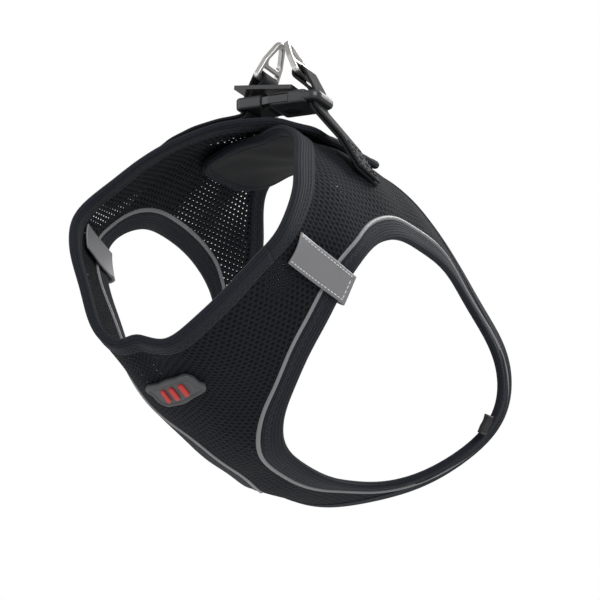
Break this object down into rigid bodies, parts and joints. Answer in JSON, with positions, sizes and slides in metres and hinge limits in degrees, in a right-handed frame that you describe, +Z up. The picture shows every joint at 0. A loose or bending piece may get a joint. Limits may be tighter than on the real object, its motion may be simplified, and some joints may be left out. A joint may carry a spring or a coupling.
{
  "type": "pet vest harness",
  "caption": "Small pet's step-in vest harness of air mesh with bound edges, reflective trim, webbing straps, a side-release buckle and leash rings on the back.",
  "frame": {"origin": "the point over the middle of the back where a leash clip goes through the eyes of the two rings", "axes": "+Z up, +Y towards the pet's tail (the pet looks along -Y), +X towards the pet's left side"},
  "size_m": [0.1532, 0.2472, 0.2052],
  "materials": {
    "air_mesh": "open 3-D air mesh, matt black",
    "binding": "ribbed stretch tape, matt navy black",
    "reflective": "smooth grey retro-reflective tape",
    "badge": "moulded matt grey rubber",
    "emblem": "moulded matt red rubber",
    "webbing": "woven matt charcoal webbing",
    "ring_metal": "satin nickel plate",
    "buckle_plastic": "fine satin dark grey acetal",
    "hook_and_loop": "short black pile",
    "label": "smooth black satin tape"
  },
  "bodies": {
    "vest": {"badge_emblem": "emblem", "buckle_socket": "buckle_plastic", "chest_badge": "badge", "chest_panel": "air_mesh", "girth_binding": "binding", "left_leg_binding": "binding", "left_leg_piping": "reflective", "left_neck_binding": "binding", "left_reflective_tab": "reflective", "left_shoulder_panel": "air_mesh", "left_strap": "webbing", "left_wing_panel": "air_mesh", "loop_pad": "hook_and_loop", "right_leg_binding": "binding", "right_leg_piping": "reflective", "right_neck_binding": "binding", "right_reflective_tab": "reflective", "right_shoulder_panel": "air_mesh", "right_strap": "webbing", "right_wing_panel": "air_mesh", "seam_label": "label", "wing_end_binding": "binding"},
    "wing_tongue_body": {"wing_tongue": "air_mesh", "tongue_binding": "binding", "hook_pad": "hook_and_loop"},
    "plug": {"buckle_plug": "buckle_plastic"},
    "front_prong": {"prong_front": "buckle_plastic"},
    "rear_prong": {"prong_rear": "buckle_plastic"},
    "left_ring_body": {"left_ring": "ring_metal"},
    "right_ring_body": {"right_ring": "ring_metal"},
    "keeper": {"keeper_plate": "buckle_plastic"}
  },
  "joints": [
    {"name": "wing_peel", "type": "hinge", "parent": "vest", "child": "wing_tongue_body", "pos_m": [0.00789, 0.02172, -0.0435], "axis": [0, 1, 0], "range_deg": [-75, 0]},
    {"name": "buckle_release", "type": "slide", "parent": "vest", "child": "plug", "axis": [-0.9903, 0, -0.1392], "range_m": [0, 0.018], "deforming": ["right_strap", "prong_front", "prong_rear"]},
    {"name": "front_prong_flex", "type": "hinge", "parent": "plug", "child": "front_prong", "pos_m": [-0.00614, -0.0083, -0.02356], "axis": [-0.1392, 0, 0.9903], "range_deg": [0, 8], "stiffness_Nm_per_rad": 0.02},
    {"name": "rear_prong_flex", "type": "hinge", "parent": "plug", "child": "rear_prong", "pos_m": [-0.00614, 0.0083, -0.02356], "axis": [-0.1392, 0, 0.9903], "range_deg": [-8, 0], "stiffness_Nm_per_rad": 0.02},
    {"name": "left_ring_swing", "type": "hinge", "parent": "vest", "child": "left_ring_body", "pos_m": [0.00795, 0, -0.00886], "axis": [0, 1, 0], "range_deg": [0, 100]},
    {"name": "right_ring_swing", "type": "hinge", "parent": "plug", "child": "right_ring_body", "pos_m": [-0.01146, 0, -0.01159], "axis": [0, 1, 0], "range_deg": [-100, 0]},
    {"name": "keeper_slide", "type": "slide", "parent": "plug", "child": "keeper", "axis": [0.4828, 0, 0.8757], "range_m": [0, 0.0015]}
  ],
  "couplings": [
    {"joint": "rear_prong_flex", "follows": "front_prong_flex", "ratio": -1}
  ]
}
